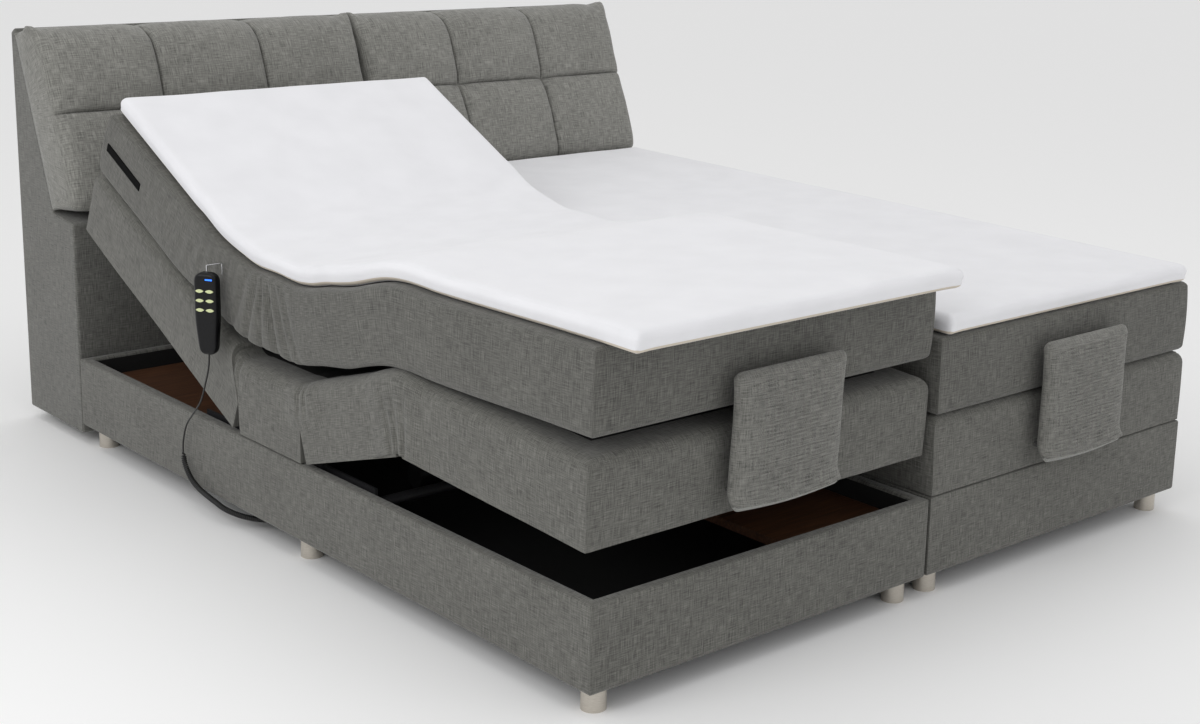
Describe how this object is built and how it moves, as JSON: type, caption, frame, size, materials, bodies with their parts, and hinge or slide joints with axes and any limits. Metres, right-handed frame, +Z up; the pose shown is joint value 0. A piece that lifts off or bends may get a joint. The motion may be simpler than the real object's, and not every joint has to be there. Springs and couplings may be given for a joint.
{
  "type": "adjustable bed base",
  "caption": "Motorised box-spring bed with folding upholstered base sections, mattresses, toppers, padded headboard and a wired handset, stored half raised.",
  "frame": {"origin": "middle of the whole bed's box, on the floor", "axes": "+X from the near unit to the far unit, +Y from the foot end to the headboard, +Z up"},
  "size_m": [1.8618, 2.3788, 1.022],
  "materials": {
    "base_fabric": "coarse melange linen weave",
    "head_fabric": "coarse melange linen weave",
    "mattress_fabric": "coarse melange linen weave",
    "topper_fabric": "fine white jersey",
    "section_board": "upholstered board",
    "black_lining": "non-woven lining",
    "brown_board": "oiled board",
    "foot_metal": "satin",
    "frame_steel": "satin powder coat",
    "rod_steel": "polished rod",
    "black_plastic": "textured",
    "handset_plastic": "satin",
    "key_plastic": "soft-touch",
    "blue_light": "lit",
    "hook_wire": "bright wire",
    "cable_rubber": "matte"
  },
  "bodies": {
    "root": {"headboard_frame": "head_fabric", "headboard_cushion_left": "head_fabric", "headboard_cushion_right": "head_fabric", "left_box": "base_fabric", "right_box": "base_fabric", "box_linings": "black_lining", "box_boards": "brown_board", "feet": "foot_metal", "seat_frames": "frame_steel", "seat_sections": "section_board", "mattress_seats": "mattress_fabric", "topper_seats": "topper_fabric", "control_boxes": "black_plastic", "back_motors": "black_plastic", "foot_motors": "black_plastic", "handset_case": "handset_plastic", "handset_light": "blue_light", "handset_hook": "hook_wire", "handset_cable": "cable_rubber", "handset_curly_cord": "cable_rubber", "cable_gland": "black_plastic"},
    "left_back": {"left_back_section": "section_board", "left_mattress_back": "mattress_fabric", "left_topper_back": "topper_fabric"},
    "left_thigh": {"left_thigh_section": "section_board", "left_mattress_thigh": "mattress_fabric", "left_topper_thigh": "topper_fabric"},
    "left_leg": {"left_leg_section": "section_board", "left_mattress_leg": "mattress_fabric", "left_topper_leg": "topper_fabric", "left_retainer_bow": "frame_steel", "left_retainer_pad": "base_fabric"},
    "left_back_lift": {"left_back_lift": "frame_steel"},
    "left_foot_lift": {"left_foot_lift": "frame_steel"},
    "left_back_rod": {"left_back_rod": "rod_steel"},
    "left_foot_rod": {"left_foot_rod": "rod_steel"},
    "right_back": {"right_back_section": "section_board", "right_mattress_back": "mattress_fabric", "right_topper_back": "topper_fabric"},
    "right_thigh": {"right_thigh_section": "section_board", "right_mattress_thigh": "mattress_fabric", "right_topper_thigh": "topper_fabric"},
    "right_leg": {"right_leg_section": "section_board", "right_mattress_leg": "mattress_fabric", "right_topper_leg": "topper_fabric", "right_retainer_bow": "frame_steel", "right_retainer_pad": "base_fabric"},
    "right_back_lift": {"right_back_lift": "frame_steel"},
    "right_foot_lift": {"right_foot_lift": "frame_steel"},
    "right_back_rod": {"right_back_rod": "rod_steel"},
    "right_foot_rod": {"right_foot_rod": "rod_steel"},
    "key_back_up": {"key_back_up": "key_plastic"},
    "key_back_down": {"key_back_down": "key_plastic"},
    "key_foot_up": {"key_foot_up": "key_plastic"},
    "key_foot_down": {"key_foot_down": "key_plastic"},
    "key_both_up": {"key_both_up": "key_plastic"},
    "key_both_down": {"key_both_down": "key_plastic"}
  },
  "joints": [
    {"name": "left_back_tilt", "type": "hinge", "parent": "root", "child": "left_back", "pos_m": [-0.42115, 0.10436, 0.295], "axis": [1, 0, 0], "range_deg": [-25.5, 24.5]},
    {"name": "left_thigh_tilt", "type": "hinge", "parent": "root", "child": "left_thigh", "pos_m": [-0.42115, -0.15064, 0.295], "axis": [-1, 0, 0], "range_deg": [-17.5, 12.5]},
    {"name": "left_leg_fold", "type": "hinge", "parent": "left_thigh", "child": "left_leg", "pos_m": [-0.42115, -0.50828, 0.40776], "axis": [1, 0, 0], "range_deg": [-20.01, 14.3]},
    {"name": "left_back_lift_turn", "type": "hinge", "parent": "root", "child": "left_back_lift", "pos_m": [-0.42115, 0.10436, 0.25], "axis": [1, 0, 0], "range_deg": [-23.98, 23.04]},
    {"name": "left_foot_lift_turn", "type": "hinge", "parent": "root", "child": "left_foot_lift", "pos_m": [-0.42115, -0.15064, 0.25], "axis": [-1, 0, 0], "range_deg": [-16.81, 12.01]},
    {"name": "left_back_rod_slide", "type": "slide", "parent": "root", "child": "left_back_rod", "axis": [0, 1, 0], "range_m": [-0.02848, 0.02736]},
    {"name": "left_foot_rod_slide", "type": "slide", "parent": "root", "child": "left_foot_rod", "axis": [0, -1, 0], "range_m": [-0.02032, 0.01452]},
    {"name": "right_back_tilt", "type": "hinge", "parent": "root", "child": "right_back", "pos_m": [0.48285, 0.10436, 0.295], "axis": [1, 0, 0], "range_deg": [0, 50]},
    {"name": "right_thigh_tilt", "type": "hinge", "parent": "root", "child": "right_thigh", "pos_m": [0.48285, -0.15064, 0.295], "axis": [-1, 0, 0], "range_deg": [0, 30]},
    {"name": "right_leg_fold", "type": "hinge", "parent": "right_thigh", "child": "right_leg", "pos_m": [0.48285, -0.52564, 0.295], "axis": [1, 0, 0], "range_deg": [-0.01, 34.3]},
    {"name": "right_back_lift_turn", "type": "hinge", "parent": "root", "child": "right_back_lift", "pos_m": [0.48285, 0.10436, 0.25], "axis": [1, 0, 0], "range_deg": [-0.01, 47.01]},
    {"name": "right_foot_lift_turn", "type": "hinge", "parent": "root", "child": "right_foot_lift", "pos_m": [0.48285, -0.15064, 0.25], "axis": [-1, 0, 0], "range_deg": [-0.01, 28.81]},
    {"name": "right_back_rod_slide", "type": "slide", "parent": "root", "child": "right_back_rod", "axis": [0, 1, 0], "range_m": [-0.00001, 0.05584]},
    {"name": "right_foot_rod_slide", "type": "slide", "parent": "root", "child": "right_foot_rod", "axis": [0, -1, 0], "range_m": [-0.00001, 0.03483]},
    {"name": "key_back_up_press", "type": "slide", "parent": "root", "child": "key_back_up", "axis": [0.8192, 0.5736, 0], "range_m": [0, 0.001], "stiffness_N_per_m": 300, "springref_m": -0.0005},
    {"name": "key_back_down_press", "type": "slide", "parent": "root", "child": "key_back_down", "axis": [0.8192, 0.5736, 0], "range_m": [0, 0.001], "stiffness_N_per_m": 300, "springref_m": -0.0005},
    {"name": "key_foot_up_press", "type": "slide", "parent": "root", "child": "key_foot_up", "axis": [0.8192, 0.5736, 0], "range_m": [0, 0.001], "stiffness_N_per_m": 300, "springref_m": -0.0005},
    {"name": "key_foot_down_press", "type": "slide", "parent": "root", "child": "key_foot_down", "axis": [0.8192, 0.5736, 0], "range_m": [0, 0.001], "stiffness_N_per_m": 300, "springref_m": -0.0005},
    {"name": "key_both_up_press", "type": "slide", "parent": "root", "child": "key_both_up", "axis": [0.8192, 0.5736, 0], "range_m": [0, 0.001], "stiffness_N_per_m": 300, "springref_m": -0.0005},
    {"name": "key_both_down_press", "type": "slide", "parent": "root", "child": "key_both_down", "axis": [0.8192, 0.5736, 0], "range_m": [0, 0.001], "stiffness_N_per_m": 300, "springref_m": -0.0005}
  ],
  "couplings": [
    {"joint": "left_leg_fold", "follows": "left_thigh_tilt", "ratio": 1.143},
    {"joint": "left_back_lift_turn", "follows": "left_back_tilt", "ratio": 0.94},
    {"joint": "left_foot_lift_turn", "follows": "left_thigh_tilt", "ratio": 0.96},
    {"joint": "left_back_rod_slide", "follows": "left_back_tilt", "m_per_rad": 0.063971},
    {"joint": "left_foot_rod_slide", "follows": "left_thigh_tilt", "m_per_rad": 0.066495},
    {"joint": "right_leg_fold", "follows": "right_thigh_tilt", "ratio": 1.143},
    {"joint": "right_back_lift_turn", "follows": "right_back_tilt", "ratio": 0.94},
    {"joint": "right_foot_lift_turn", "follows": "right_thigh_tilt", "ratio": 0.96},
    {"joint": "right_back_rod_slide", "follows": "right_back_tilt", "m_per_rad": 0.063971},
    {"joint": "right_foot_rod_slide", "follows": "right_thigh_tilt", "m_per_rad": 0.066495}
  ]
}
